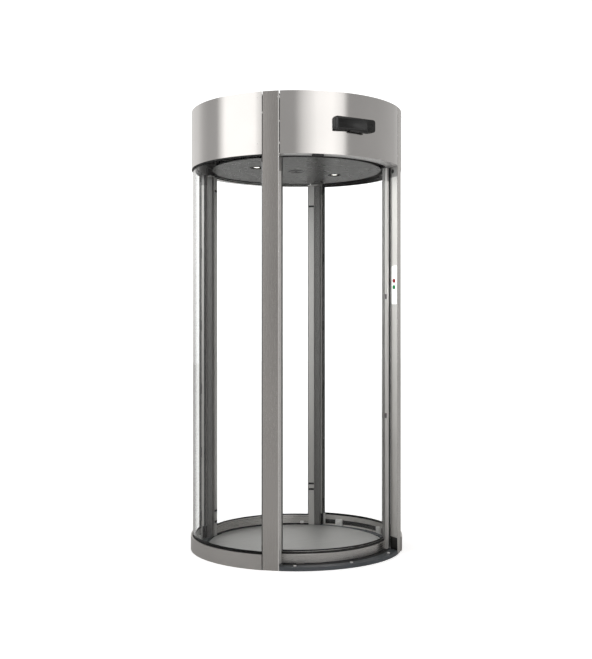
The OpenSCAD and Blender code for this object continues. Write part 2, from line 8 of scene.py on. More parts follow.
import bmesh
import bpy
from mathutils import Matrix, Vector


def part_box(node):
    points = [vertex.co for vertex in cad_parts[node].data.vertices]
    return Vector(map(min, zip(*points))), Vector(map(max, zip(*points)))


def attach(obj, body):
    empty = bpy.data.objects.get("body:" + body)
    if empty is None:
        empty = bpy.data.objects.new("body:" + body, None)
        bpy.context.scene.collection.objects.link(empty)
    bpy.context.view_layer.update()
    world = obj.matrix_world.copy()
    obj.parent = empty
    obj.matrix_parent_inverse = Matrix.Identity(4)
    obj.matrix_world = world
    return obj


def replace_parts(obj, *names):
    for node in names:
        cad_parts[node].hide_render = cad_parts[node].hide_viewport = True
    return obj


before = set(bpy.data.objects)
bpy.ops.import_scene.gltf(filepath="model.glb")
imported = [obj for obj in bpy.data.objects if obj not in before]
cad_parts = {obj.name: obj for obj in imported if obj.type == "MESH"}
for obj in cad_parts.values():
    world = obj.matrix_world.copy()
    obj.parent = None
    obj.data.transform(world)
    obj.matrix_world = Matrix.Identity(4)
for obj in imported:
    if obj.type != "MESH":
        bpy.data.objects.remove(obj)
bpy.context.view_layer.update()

MM = 0.001

# ------------------------------------------------------------ base plate
# A turned steel plate with a dark powder coat. It carries the whole portal and
# shows as a low step in both doorways, held down by three bright steel
# button-head screws in each.

PLATE_COLOUR = (0.085, 0.095, 0.105)
THRESHOLD_SCREW_R = 9 * MM
THRESHOLD_SCREW_H = 5 * MM
THRESHOLD_SCREW_IN = 26 * MM
THRESHOLD_SCREW_ANGLES = (-31, 0, 31)
# Shares of a screw head: its rim, its socket's depth and taper, its rounding
SCREW_RIM = 0.48
SOCKET_DEPTH = 0.6
SOCKET_TAPER = 0.9
SCREW_ROUNDING = 0.3
# A noise lies mostly between these two values
NOISE_SPAN = (0.3, 0.7)


def material(name, colour, metallic, roughness):
    """New material with its shader set to one colour, metal share and roughness."""
    finish = bpy.data.materials.new(name)
    finish.use_nodes = True
    shader = finish.node_tree.nodes["Principled BSDF"]
    shader.inputs["Base Color"].default_value = (*colour, 1)
    shader.inputs["Metallic"].default_value = metallic
    shader.inputs["Roughness"].default_value = roughness
    return finish, finish.node_tree, shader


def noise(tree, scale, stretch=(1, 1, 1), detail=3):
    """Noise in the piece's own coordinates, stretched along an axis for a grain."""
    place = tree.nodes.new("ShaderNodeTexCoord")
    mapping = tree.nodes.new("ShaderNodeMapping")
    mapping.inputs["Scale"].default_value = stretch
    texture = tree.nodes.new("ShaderNodeTexNoise")
    texture.inputs["Scale"].default_value = scale
    texture.inputs["Detail"].default_value = detail
    tree.links.new(place.outputs["Object"], mapping.inputs["Vector"])
    tree.links.new(mapping.outputs["Vector"], texture.inputs["Vector"])
    return texture.outputs["Fac"]


def ramped(tree, value, stops, target):
    """Colour ramp from a value to a colour socket; a stop is its place and its colour."""
    ramp = tree.nodes.new("ShaderNodeValToRGB")
    marks = ramp.color_ramp.elements
    while len(marks) < len(stops):
        marks.new(0.5)
    for mark, (place, _) in zip(marks, stops):
        mark.position = place
    for mark, (_, colour) in zip(marks, stops):
        mark.color = (*colour, 1)
    tree.links.new(value, ramp.inputs["Fac"])
    tree.links.new(ramp.outputs["Color"], target)
    return ramp


def mapped(tree, value, source, goal=(0, 1)):
    """A value brought from one range to another."""
    span = tree.nodes.new("ShaderNodeMapRange")
    for end, number in zip(("From Min", "From Max", "To Min", "To Max"), (*source, *goal)):
        span.inputs[end].default_value = number
    tree.links.new(value, span.inputs["Value"])
    return span.outputs["Result"]


def vary_colour(tree, shader, pattern, dark, light):
    """Lets the colour run between two shades of it along a pattern."""
    base = shader.inputs["Base Color"].default_value[:3]
    shades = [[min(1, channel * share) for channel in base] for share in (dark, light)]
    ramped(tree, pattern, list(zip(NOISE_SPAN, shades)), shader.inputs["Base Color"])


def vary_roughness(tree, shader, pattern, spread):
    """Lets the roughness run a little to both sides of its value."""
    roughness = shader.inputs["Roughness"]
    middle = roughness.default_value
    varied = mapped(tree, pattern, NOISE_SPAN, (max(0, middle - spread), middle + spread))
    tree.links.new(varied, roughness)


def bump(tree, shader, pattern, height, strength=1.0):
    """Raises the surface along a pattern, by height in metres."""
    relief = tree.nodes.new("ShaderNodeBump")
    relief.inputs["Distance"].default_value = height
    relief.inputs["Strength"].default_value = strength
    tree.links.new(pattern, relief.inputs["Height"])
    tree.links.new(relief.outputs["Normal"], shader.inputs["Normal"])


def skin(name, colour, roughness, clouds, patches, grit):
    """Paint, plastic or rubber.

    clouds: scale, darkest and lightest share of the colour; patches: scale and
    spread of the roughness; grit: scale, height and strength of the relief.
    """
    finish, tree, shader = material(name, colour, 0.0, roughness)
    vary_colour(tree, shader, noise(tree, clouds[0]), *clouds[1:])
    vary_roughness(tree, shader, noise(tree, patches[0]), patches[1])
    bump(tree, shader, noise(tree, grit[0]), *grit[1:])
    return finish


def powder_coat(name, colour, roughness=0.45, clouds=(9, 0.9, 1.1)):
    """Painted steel with the fine orange peel of a powder coat."""
    return skin(name, colour, roughness, clouds, (30, 0.05), (900, 0.05 * MM, 0.4))


def steel(name, colour, roughness, grain, grain_scale=700, depth=0.02 * MM, metallic=1.0):
    """Stainless steel with a ground grain; grain gives how tight it is along X, Y and Z."""
    finish, tree, shader = material(name, colour, metallic, roughness)
    lines = noise(tree, grain_scale, grain, 2)
    vary_colour(tree, shader, noise(tree, 3), 0.96, 1.03)
    vary_roughness(tree, shader, lines, 0.04)
    bump(tree, shader, lines, depth, 0.35)
    return finish


def dress(finish, *nodes):
    """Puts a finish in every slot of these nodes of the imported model."""
    for node in nodes:
        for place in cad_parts[node].material_slots:
            place.material = finish


def deselect():
    """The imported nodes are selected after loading, and an operator acts on all that is."""
    bpy.ops.object.select_all(action="DESELECT")


def edit_faces(piece, wanted):
    """Edit mode with only the faces that wanted names selected."""
    bpy.context.view_layer.objects.active = piece
    bpy.ops.object.mode_set(mode="EDIT")
    bpy.ops.mesh.select_mode(type="FACE")
    bpy.ops.mesh.select_all(action="DESELECT")
    shape = bmesh.from_edit_mesh(piece.data)
    shape.faces.ensure_lookup_table()
    for face in shape.faces:
        face.select_set(bool(wanted(face)))
    bmesh.update_edit_mesh(piece.data)


def leave_edit():
    bpy.ops.object.mode_set(mode="OBJECT")


def push(distance, share=1.0, centre=(0, 0, 0)):
    """Extrudes the selected faces by a vector, and scales them about a centre."""
    bpy.ops.mesh.extrude_region_move(TRANSFORM_OT_translate={"value": distance})
    if share != 1.0:
        bpy.ops.transform.resize(value=(share, share, share), center_override=centre)


def round_edges(piece, width, segments=2, angle=30):
    """Bevels the sharp edges and smooths the shading across them."""
    deselect()
    piece.select_set(True)
    bpy.context.view_layer.objects.active = piece
    bevel = piece.modifiers.new("edges", "BEVEL")
    bevel.width = width
    bevel.segments = segments
    bevel.limit_method = "ANGLE"
    bevel.angle_limit = radians(angle)
    bevel.harden_normals = False
    bpy.ops.object.modifier_apply(modifier=bevel.name)
    bpy.ops.object.shade_smooth_by_angle(angle=radians(angle))


def placed(piece, name, matrix):
    """A copy with its own mesh, moved by matrix."""
    twin = piece.copy()
    twin.data = piece.data.copy()
    twin.name = name
    twin.data.transform(matrix)
    bpy.context.scene.collection.objects.link(twin)
    return twin


def joined(pieces, name):
    """One piece made of several."""
    deselect()
    for piece in pieces:
        piece.select_set(True)
    bpy.context.view_layer.objects.active = pieces[0]
    if len(pieces) > 1:
        bpy.ops.object.join()
    whole = bpy.context.view_layer.objects.active
    whole.name = name
    return whole


def repeated(piece, name, matrices):
    """Copies of one piece at several places, joined, with the pattern piece removed."""
    whole = joined([placed(piece, name, matrix) for matrix in matrices], name)
    bpy.data.objects.remove(piece)
    return whole


def fitted(piece, body, finish):
    """Gives a piece its finish and its body."""
    piece.data.materials.clear()
    piece.data.materials.append(finish)
    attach(piece, body)
    return piece


def around(angle, radius=0.0, height=0.0):
    """Matrix that takes +X to the outward direction at an angle round the portal."""
    turn = Matrix.Rotation(radians(angle - 90), 4, "Z")
    return turn @ Matrix.Translation((radius, 0, height))


def disc(name, radius, depth, centre, vertices=64, turn=(0, 0, 0)):
    """Turned disc to shape further, with its place in its mesh."""
    deselect()
    bpy.ops.mesh.primitive_cylinder_add(
        vertices=vertices, radius=radius, depth=depth, location=centre, rotation=turn
    )
    piece = bpy.context.object
    piece.name = name
    bpy.ops.object.transform_apply(location=True, rotation=True, scale=True)
    return piece


def screw_head(name, radius, height):
    """Round head with a socket, standing on the origin and facing up."""
    piece = disc(name, radius, height, (0, 0, height / 2), 24)
    edit_faces(piece, lambda face: face.normal.z > 0.9)
    bpy.ops.mesh.inset(thickness=radius * SCREW_RIM)
    push((0, 0, -height * SOCKET_DEPTH), SOCKET_TAPER, (0, 0, height))
    leave_edit()
    round_edges(piece, min(radius, height) * SCREW_ROUNDING)
    return piece


plate_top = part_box("base_plate")[1].z
plate_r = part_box("canopy_sides")[1].x
dress(powder_coat("plate_coat", PLATE_COLOUR), "base_plate")

bright_steel = steel("bright_steel", (0.9, 0.89, 0.88), 0.3, (1, 1, 1))
screw = screw_head("threshold_screw", THRESHOLD_SCREW_R, THRESHOLD_SCREW_H)
fitted(
    repeated(screw, "threshold_screws", [
        around(angle + side, plate_r - THRESHOLD_SCREW_IN, plate_top)
        for side in (0, 180) for angle in THRESHOLD_SCREW_ANGLES
    ]),
    "frame", bright_steel,
)

# ------------------------------------------------------------ floor panel
# The cabin's floor is a disc of stainless sheet, ground across the passage and
# dulled by shoes. It lies loose on the base plate.

finish, tree, shader = material("floor_sheet", (0.44, 0.44, 0.435), 0.6, 0.5)
streaks = noise(tree, 500, (0.02, 1, 1), 3)
vary_colour(tree, shader, noise(tree, 120, (0.03, 1, 1), 4), 0.9, 1.1)
vary_roughness(tree, shader, streaks, 0.05)
bump(tree, shader, streaks, 0.04 * MM, 0.5)
dress(finish, "floor_panel")

# ------------------------------------------------------------ base rings
# A ring of rolled stainless steel stands under each fixed wall, beside the
# plate. It is ground round the portal, and a black rubber strip lies in the
# slot in its inner face.

RING_IN = 28 * MM
SLOT_Z = (25.5 * MM, 51.5 * MM)
SLOT_STRIP_IN = (0.5 * MM, 13.7 * MM)
# Angle that a post takes up round the portal
POST_SPAN = 8.4
# Steps of a strip that runs the length of a wall or a doorway
LONG = 24


def curved_plate(name, radii, heights, angles, steps=4):
    """Upright block between two radii, two heights and two angles, spun round the axis."""
    deselect()
    bpy.ops.mesh.primitive_plane_add(size=1, location=(0, 0, 0))
    piece = bpy.context.object
    piece.name = name
    depth, height = radii[1] - radii[0], heights[1] - heights[0]
    upright = Matrix((
        (depth, 0, 0, radii[0] + depth / 2), (0, 0, 1, 0),
        (0, height, 0, heights[0] + height / 2), (0, 0, 0, 1),
    ))
    piece.data.transform(around(angles[0]) @ upright)
    edit_faces(piece, lambda face: True)
    # Without a window the operator turns against its axis
    bpy.ops.mesh.spin(
        steps=steps, angle=radians(angles[1] - angles[0]), center=(0, 0, 0), axis=(0, 0, -1)
    )
    bpy.ops.mesh.select_all(action="SELECT")
    bpy.ops.mesh.remove_doubles(threshold=0.00001)
    bpy.ops.mesh.normals_make_consistent(inside=False)
    leave_edit()
    return piece


def rubber(name, colour=(0.018, 0.018, 0.018), roughness=0.6):
    """Matt rubber with a fine moulded skin and some dust."""
    return skin(name, colour, roughness, (12, 0.8, 1.35), (40, 0.08), (1500, 0.04 * MM, 0.5))


def finished(pieces, name, rounding, body, finish, segments=2):
    """Joins pieces, rounds their edges, and gives them a finish and a body."""
    whole = joined(pieces, name)
    round_edges(whole, rounding, segments)
    return fitted(whole, body, finish)


dress(
    steel("ring_sheet", (0.52, 0.505, 0.49), 0.32, (0.02, 0.02, 1), 900, metallic=0.85),
    "base_ring_left", "base_ring_right",
)
passage_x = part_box("soffits")[1].x
post_a1 = degrees(atan2(passage_x, sqrt(plate_r ** 2 - passage_x ** 2)))
post_a2 = post_a1 + POST_SPAN
black_rubber = rubber("black_rubber")
ring_inner_r = plate_r - RING_IN
slot_strips = [
    curved_plate(
        "slot_strip", [ring_inner_r + inwards for inwards in SLOT_STRIP_IN], SLOT_Z,
        (side + post_a2 - 90, side + 90 - post_a2), LONG,
    )
    for side in (90, -90)
]
finished(slot_strips, "ring_slot_strips", 0.4 * MM, "frame", black_rubber)

# ------------------------------------------------------------ ring clamps
# Machined aluminium clamps hold each ring down. Each has a socket screw in its
# face. Thin plates close the slot's ends.

CLAMP_SCREW_R = 7 * MM
CLAMP_SCREW_H = 4 * MM
CLAMP_ANGLES = (53.6, 87.6, 121.6)
CLAMP_DEPTH = 15 * MM
CLAMP_SCREW_UP = 18.5 * MM

finish, tree, shader = material("clamp_metal", (0.78, 0.78, 0.77), 0.5, 0.42)
vary_colour(tree, shader, noise(tree, 40), 0.95, 1.03)
vary_roughness(tree, shader, noise(tree, 700, (1, 1, 0.05)), 0.05)
dress(finish, "ring_clamps")
tip_inwards = Matrix.Rotation(radians(-90), 4, "Y")
screw = screw_head("clamp_screw", CLAMP_SCREW_R, CLAMP_SCREW_H)
fitted(
    repeated(screw, "clamp_screws", [
        around(side * angle, ring_inner_r - CLAMP_DEPTH, plate_top + CLAMP_SCREW_UP) @ tip_inwards
        for side in (1, -1) for angle in CLAMP_ANGLES
    ]),
    "frame", bright_steel,
)

# ------------------------------------------------------------ pocket strips
# Bright strips are let into the base plate along the rings, beside the pockets
# that take the open doors. They are flush and glued.

dress(steel("strip_sheet", (0.7, 0.69, 0.68), 0.3, (0.05, 0.05, 1)), "pocket_strips")

# ------------------------------------------------------------ threshold shade strips
# A black rubber strip is glued to the plate in front of each door, beside the
# gap under the door's rail. It is painted shade: a dark sheet where the plate lies in the rail's
# shade.

THRESHOLD_SHADE_R = (526.5 * MM, 549 * MM)
THRESHOLD_SHADE_T = 1.5 * MM
THRESHOLD_SHADE_ANGLE = 38

# Black strips in front of the doors: painted shade beside the door rails
strips = [
    curved_plate(
        "threshold_shade_strip", THRESHOLD_SHADE_R, (plate_top, plate_top + THRESHOLD_SHADE_T),
        (side - THRESHOLD_SHADE_ANGLE, side + THRESHOLD_SHADE_ANGLE), LONG,
    )
    for side in (0, 180)
]
finished(strips, "threshold_shade_strips", 0.5 * MM, "frame", black_rubber)

# ------------------------------------------------------------ fixed glass
# Two panes of curved laminated glass, clear with the faint green of float
# glass. They stand in gaskets, and their edges are ground.

WALL_GLASS_IN = 8 * MM
WALL_GLASS_T = 12 * MM
WALL_GLASS_EDGE = 0.38
GLASS_IOR = 1.13
# Slant at which the edge tint starts, and how soon it comes
GLASS_EDGE_FROM = 0.35
GLASS_EDGE_BLEND = 0.25
PANE_STEP = 0.5


def mixed(tree, share, first, second, target):
    """Mixes two shaders by a share, into an output."""
    mix = tree.nodes.new("ShaderNodeMixShader")
    for source, socket in zip((share, first, second), mix.inputs):
        tree.links.new(source, socket)
    tree.links.new(mix.outputs["Shader"], target)


def glass(name, tint, edge_tint):
    """Clear glass that lets lamps through, deeper in tint where it is seen edge on."""
    finish, tree, shader = material(name, tint, 0.0, 0.0)
    shader.inputs["Transmission Weight"].default_value = 1.0
    shader.inputs["IOR"].default_value = GLASS_IOR
    slant = tree.nodes.new("ShaderNodeLayerWeight")
    slant.inputs["Blend"].default_value = GLASS_EDGE_BLEND
    stops = ((GLASS_EDGE_FROM, tint), (1.0, edge_tint))
    ramped(tree, slant.outputs["Facing"], stops, shader.inputs["Base Color"])
    clear = tree.nodes.new("ShaderNodeBsdfTransparent")
    clear.inputs["Color"].default_value = (*tint, 1)
    rays = tree.nodes.new("ShaderNodeLightPath")
    mixed(
        tree, rays.outputs["Is Shadow Ray"], shader.outputs["BSDF"], clear.outputs["BSDF"],
        tree.nodes["Material Output"].inputs["Surface"],
    )
    return finish


def pane(name, node, radii, angles, body, finish):
    """Curved pane in fine steps, in the place of a packed one."""
    low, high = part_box(node)
    steps = round((angles[1] - angles[0]) / PANE_STEP)
    piece = curved_plate(name, radii, (low.z, high.z), angles, steps)
    deselect()
    piece.select_set(True)
    bpy.context.view_layer.objects.active = piece
    bpy.ops.object.shade_smooth_by_angle(angle=radians(30))
    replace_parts(fitted(piece, body, finish), node)


wall_glass = glass("wall_glass", (0.985, 0.993, 0.99), (0.94, 0.955, 0.948))
wall_glass_r = plate_r - WALL_GLASS_IN
wall_half = 90 - post_a2 - WALL_GLASS_EDGE
for side, angle in (("left", -90), ("right", 90)):
    pane(
        side + "_wall_pane", "wall_glass_" + side, (wall_glass_r - WALL_GLASS_T, wall_glass_r),
        (angle - wall_half, angle + wall_half), "frame", wall_glass,
    )

# ------------------------------------------------------------ wall gaskets
# Extruded black rubber round each pane, pressed into the ring's groove and
# into the channel over the wall. Its upright lips are grey. Small black clips
# lock the glass to the posts.

GREY_LIP = (0.09, 0.09, 0.09)
LIP_FROM_Z = 0.12
LIP_TO_Z = 2.1
# Height that the lips' colours are spread over, a little more than the portal's
LIP_SPAN_Z = 2.5


def lipped_rubber(name):
    """Black rubber whose upright lips, between two heights, are grey."""
    finish, tree, shader = material(name, (0.01, 0.01, 0.01), 0.0, 0.65)
    shader.inputs["Specular IOR Level"].default_value = 0.2
    place = tree.nodes.new("ShaderNodeTexCoord")
    parts = tree.nodes.new("ShaderNodeSeparateXYZ")
    black = shader.inputs["Base Color"].default_value[:3]
    heights = ((0, black), (LIP_FROM_Z, GREY_LIP), (LIP_TO_Z, black))
    stops = [(height / LIP_SPAN_Z, shade) for height, shade in heights]
    tree.links.new(place.outputs["Object"], parts.inputs["Vector"])
    share = mapped(tree, parts.outputs["Z"], (0, LIP_SPAN_Z))
    ramp = ramped(tree, share, stops, shader.inputs["Base Color"])
    ramp.color_ramp.interpolation = "CONSTANT"
    vary_roughness(tree, shader, noise(tree, 40), 0.08)
    bump(tree, shader, noise(tree, 1500), 0.04 * MM, 0.5)
    return finish


lip_rubber = lipped_rubber("lip_rubber")
dress(lip_rubber, "wall_gaskets")
dress(black_rubber, "glass_clips")
dress(powder_coat("channel_coat", (0.02, 0.02, 0.02), 0.6), "wall_heads")

# ------------------------------------------------------------ posts
# Folded stainless steel posts carry the canopy. The covers over their outer
# faces run from the ground to the canopy's top, ground lengthwise. Beside the
# doorway a flat bright strip on each cover is a painted highlight of its folded edge.

COVER_HIGHLIGHT_W = 5.5 * MM
COVER_HIGHLIGHT_T = 0.3 * MM
UPRIGHT_GRAIN = (1, 1, 0.015)


def brushed(name, colour, metallic, roughness, spread=0.04, scale=900, grain=UPRIGHT_GRAIN):
    """Sheet metal whose gloss follows its grain, with no relief."""
    finish, tree, shader = material(name, colour, metallic, roughness)
    vary_roughness(tree, shader, noise(tree, scale, grain, 2), spread)
    return finish


def both_ways(side, hand, angles):
    """Two angles on one hand of a doorway, the lower one first."""
    return sorted(side + hand * angle for angle in angles)


def upright_strips(name, radii, node, angles):
    """Strips beside both jambs of both doorways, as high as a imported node."""
    heights = [corner.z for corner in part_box(node)]
    return [
        curved_plate(name, radii, heights, both_ways(side, hand, angles), 1)
        for side in (0, 180) for hand in (1, -1)
    ]


dress(
    steel("post_sheet", (0.63, 0.62, 0.605), 0.42, UPRIGHT_GRAIN, 900, metallic=0.3), "posts"
)
dress(
    steel("cover_sheet", (0.56, 0.54, 0.52), 0.24, UPRIGHT_GRAIN, 900, 0.006 * MM),
    "post_covers",
)
# Brighter metal on a flat strip: a painted highlight where the cover's folded edge catches light
edge_highlight_sheet = brushed("edge_highlight_sheet", (0.88, 0.87, 0.85), 0.95, 0.34, 0.05)
edges = upright_strips(
    "edge", (plate_r - COVER_HIGHLIGHT_T, plate_r + COVER_HIGHLIGHT_T), "post_covers",
    (post_a1, post_a1 + degrees(COVER_HIGHLIGHT_W / plate_r)),
)
finished(edges, "cover_edge_highlights", 0.2 * MM, "frame", edge_highlight_sheet, 1)

# ------------------------------------------------------------ post feet
# Each post stands in a cast foot, black, with rounded edges, bolted down
# through the base plate.

FOOT_ROUNDING = 5 * MM


def merged_copy(node, name):
    """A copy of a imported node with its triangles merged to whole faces."""
    deselect()
    piece = placed(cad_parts[node], name, Matrix.Identity(4))
    piece.parent = None
    for key in list(piece.keys()):
        del piece[key]
    piece.select_set(True)
    bpy.context.view_layer.objects.active = piece
    if piece.data.has_custom_normals:
        bpy.ops.mesh.customdata_custom_splitnormals_clear()
    edit_faces(piece, lambda face: True)
    bpy.ops.mesh.remove_doubles(threshold=0.00001)
    bpy.ops.mesh.dissolve_limited(angle_limit=radians(0.2))
    leave_edit()
    return piece


def moulded(name, colour=(0.012, 0.012, 0.012), roughness=0.42):
    """Moulded plastic or a cast skin with a fine texture."""
    return skin(name, colour, roughness, (15, 0.85, 1.25), (60, 0.06), (1100, 0.06 * MM, 0.5))


foot_black = moulded("foot_black", (0.02, 0.02, 0.02), 0.5)
feet = merged_copy("post_feet", "cast_feet")
round_edges(feet, FOOT_ROUNDING, 4)
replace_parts(fitted(feet, "frame", foot_black), "post_feet")

# ------------------------------------------------------------ post heads
# Solid blocks join the posts to the canopy. A round black plug closes the
# fixing hole in each, on the face towards the passage.

PLUG_R = 11 * MM
PLUG_H = 1.5 * MM
PLUG_Y = 420 * MM
PLUG_DROP = 25 * MM

dress(brushed("head_sheet", (0.33, 0.325, 0.32), 0.4, 0.4, scale=700), "post_heads")
canopy_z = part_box("canopy_sides")[0].z
plug = screw_head("head_plug", PLUG_R, PLUG_H)
fitted(
    repeated(plug, "head_plugs", [
        Matrix.Translation((x * passage_x, y * PLUG_Y, canopy_z - PLUG_DROP))
        @ Matrix.Rotation(radians(-90 * x), 4, "Y")
        for x in (-1, 1) for y in (-1, 1)
    ]),
    "frame", foot_black,
)

# ------------------------------------------------------------ brushes
# Nylon bristles in a thin holder close the gap beside each open door. A black
# brush also hangs in the slot over each doorway. It is partly a real seal and partly painted
# shade for the dark line in the gap over the door.

BRISTLE_SCALE = 2500
BRUSH_R = (547.5 * MM, 559 * MM)
BRUSH_T = 3 * MM
SOFFIT_SHADE_BRUSH_R = (526 * MM, 529 * MM)
SOFFIT_SHADE_BRUSH_DROP = 6.5 * MM
SOFFIT_SHADE_BRUSH_ANGLE = 38

brush_nylon, tree, shader = material("brush_nylon", (0.014, 0.014, 0.014), 0.0, 0.75)
bristles = noise(tree, BRISTLE_SCALE, (0.05, 0.05, 1), 1)
vary_colour(tree, shader, bristles, 0.3, 2.2)
bump(tree, shader, bristles, 0.5 * MM)
brushes = upright_strips(
    "brush", BRUSH_R, "post_brushes", (post_a2, post_a2 + degrees(BRUSH_T / plate_r))
)
brush = finished(brushes, "bristle_strips", 0.5 * MM, "frame", brush_nylon)
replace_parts(brush, "post_brushes")
# Black strips under the soffits: partly a brush seal, partly painted shade in the gap over the
# doors
soffit_shade_brushes = [
    curved_plate(
        "soffit_shade_brush", SOFFIT_SHADE_BRUSH_R, (canopy_z - SOFFIT_SHADE_BRUSH_DROP, canopy_z),
        (side - SOFFIT_SHADE_BRUSH_ANGLE, side + SOFFIT_SHADE_BRUSH_ANGLE), LONG,
    )
    for side in (0, 180)
]
finished(soffit_shade_brushes, "soffit_shade_brushes", 0.5 * MM, "frame", brush_nylon)

# ------------------------------------------------------------ canopy skin
# Polished stainless steel sheets, rolled and hung between the post covers
# with an open joint. Small clips bridge the joints and small screws hold the
# side panels.

CLIP_HEIGHTS = ((2443 * MM, 16 * MM), (2318 * MM, 8 * MM), (2205 * MM, 12 * MM))
WALL_CLIP = (2365 * MM, 10 * MM)
CLIP_W = 4 * MM
CLIP_DEPTH = 3 * MM
CLIP_SUNK = 0.5 * MM
SIDE_SCREW_R = 3 * MM
SIDE_SCREW_H = 1 * MM
SIDE_SCREW_ARC = 28 * MM

polished = steel("canopy_sheet", (0.77, 0.755, 0.74), 0.13, (0.02, 0.02, 1), 1200, 0.004 * MM)
dress(polished, "canopy_front", "canopy_back", "canopy_sides")
half_joint = degrees(CLIP_W / 2 / plate_r)


def rounded_block(name, size, centre, radius, segments=2):
    """Block with rounded edges, turned into place later."""
    deselect()
    bpy.ops.mesh.primitive_cube_add(size=1, location=centre, scale=size)
    piece = bpy.context.object
    piece.name = name
    bpy.ops.object.transform_apply(location=True, rotation=True, scale=True)
    round_edges(piece, radius, segments)
    return piece


clips = []
for quarter in (1, -1):
    for side in (0, 180):
        for height, length in CLIP_HEIGHTS + (WALL_CLIP,):
            at_wall = (height, length) == WALL_CLIP
            angle = post_a2 + half_joint if at_wall else post_a1 - half_joint
            clip = rounded_block("clip", (CLIP_DEPTH, CLIP_W, length), (0, 0, 0), 0.5 * MM)
            clip_r = plate_r - CLIP_DEPTH / 2 - CLIP_SUNK
            clip.data.transform(around(side + quarter * angle, clip_r, height))
            clips.append(clip)
fitted(joined(clips, "joint_clips"), "frame", bright_steel)

screw = screw_head("side_screw", SIDE_SCREW_R, SIDE_SCREW_H)
tip_outwards = Matrix.Rotation(radians(90), 4, "Y")
screw_angle = post_a2 + degrees(SIDE_SCREW_ARC / plate_r)
fitted(
    repeated(screw, "side_screws", [
        around(side + quarter * screw_angle, plate_r, height) @ tip_outwards
        for side in (0, 180) for quarter in (1, -1)
        for height, _ in (CLIP_HEIGHTS[0], CLIP_HEIGHTS[2])
    ]),
    "frame", bright_steel,
)

# ------------------------------------------------------------ canopy inside
# The top cover is coated sheet, a little below the skin's edge, held by a ring
# of flat screws. The ring beam, the rods and the doors' track are plain steel.

TOP_SCREW_R = 6 * MM
TOP_SCREW_H = 2 * MM
TOP_SCREW_IN = 22 * MM
TOP_SCREWS = 12

dress(powder_coat("top_coat", (0.3, 0.3, 0.3), 0.5, (2.5, 0.96, 1.04)), "canopy_top")
top_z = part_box("canopy_top")[1].z
screw = screw_head("top_screw", TOP_SCREW_R, TOP_SCREW_H)
fitted(
    repeated(screw, "top_screws", [
        around(360 * (turn + 0.5) / TOP_SCREWS, plate_r - TOP_SCREW_IN, top_z)
        for turn in range(TOP_SCREWS)
    ]),
    "frame", bright_steel,
)
dress(powder_coat("frame_coat", (0.12, 0.12, 0.12)), "canopy_frame")
dress(steel("track_steel", (0.26, 0.26, 0.26), 0.35, (0.02, 0.02, 1)), "door_track")
dress(powder_coat("hanger_coat", (0.12, 0.12, 0.12)), "front_door_hanger", "back_door_hanger")

# ------------------------------------------------------------ soffits
# Bright stainless sheet, ground and flat, closes the canopy's edge over each
# doorway between the post heads.

soffit_sheet = brushed(
    "soffit_sheet", (0.93, 0.92, 0.91), 0.5, 0.34, scale=700, grain=(1, 1, 0.02)
)
dress(soffit_sheet, "soffits")

# ------------------------------------------------------------ ceiling
# A disc of dark coated sheet with a low sheen, hung under the ring beam, with
# holes for the lights and the sensor.

ceiling_coat = skin(
    "ceiling_coat", (0.095, 0.095, 0.095), 0.3, (5, 0.94, 1.06), (25, 0.04), (400, 0.01 * MM, 0.2)
)
dress(ceiling_coat, "ceiling_panel")

# ------------------------------------------------------------ downlights
# Two small spotlights with a black bezel, a stepped baffle and a frosted lens,
# pushed up through the ceiling.

BEZEL_R = 39 * MM
HOUSING_R = 33 * MM
LIGHT_X = 258 * MM
BAFFLE_H = 5 * MM
# Steps into a light from its bezel: inset, height, taper
LIGHT_STEPS = ((6 * MM, 1.5 * MM, 1), (3 * MM, BAFFLE_H, 0.92), (2 * MM, 1 * MM, 1))
LENS_R = 19 * MM
LENS_DOME = 0.22
LENS_UP = 2 * MM
LENS_GLOW = 2.4

light_low, light_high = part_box("downlights")
ceiling_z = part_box("ceiling_panel")[0].z


def downlight(name):
    """Bezel, baffle and housing of one downlight, at the axis."""
    depth = ceiling_z - light_low.z
    piece = disc(name, BEZEL_R, depth, (0, 0, light_low.z + depth / 2))
    edit_faces(piece, lambda face: face.normal.z > 0.9)
    bpy.ops.mesh.inset(thickness=BEZEL_R - HOUSING_R)
    push((0, 0, light_high.z - ceiling_z))
    leave_edit()
    edit_faces(piece, lambda face: face.normal.z < -0.9)
    for inwards, up, taper in LIGHT_STEPS:
        bpy.ops.mesh.inset(thickness=inwards)
        push((0, 0, up), taper, (0, 0, light_low.z + BAFFLE_H))
    leave_edit()
    round_edges(piece, 0.6 * MM)
    return piece


def dome(name, radius, flat, centre, segments=40, rings=20):
    """Sphere pressed flat by a share along X, Y and Z, and put in its place."""
    deselect()
    bpy.ops.mesh.primitive_uv_sphere_add(
        segments=segments, ring_count=rings, radius=radius, location=(0, 0, 0)
    )
    piece = bpy.context.object
    piece.name = name
    edit_faces(piece, lambda face: True)
    bpy.ops.transform.resize(value=flat, center_override=(0, 0, 0))
    leave_edit()
    piece.data.transform(Matrix.Translation(centre))
    bpy.ops.object.shade_smooth()
    return piece


def glow(shader, colour, strength):
    """Lets a surface give light of its own."""
    shader.inputs["Emission Color"].default_value = (*colour, 1)
    shader.inputs["Emission Strength"].default_value = strength


